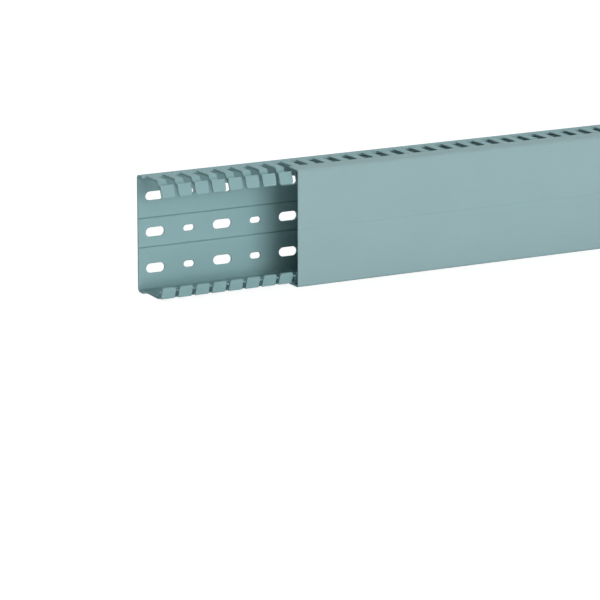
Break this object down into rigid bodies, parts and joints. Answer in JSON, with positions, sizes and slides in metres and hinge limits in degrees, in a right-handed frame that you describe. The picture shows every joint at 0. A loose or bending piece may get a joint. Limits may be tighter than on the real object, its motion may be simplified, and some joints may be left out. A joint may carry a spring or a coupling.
{
  "type": "slotted wire duct",
  "caption": "Slotted wire duct: a punched U-shaped base with open finger slots along both sides, and a flat clip-on cover pushed back from one end.",
  "frame": {"origin": "centre of the base's mounting face, halfway along its length and its width", "axes": "+X along the duct, away from the end where the cover is pushed back; +Y out of the mounting face; +Z across the width, up as the duct lies"},
  "size_m": [1.1, 0.04, 0.0808],
  "materials": {
    "base_pvc": "matte extruded rigid PVC, blue-grey",
    "cover_pvc": "matte extruded rigid PVC, blue-grey, a little lighter"
  },
  "bodies": {
    "base": {"duct_base": "base_pvc"},
    "cover": {"duct_cover": "cover_pvc"}
  },
  "joints": [
    {"name": "cover_slide", "type": "slide", "parent": "base", "child": "cover", "axis": [1, 0, 0], "range_m": [-0.1, 0.8]}
  ]
}
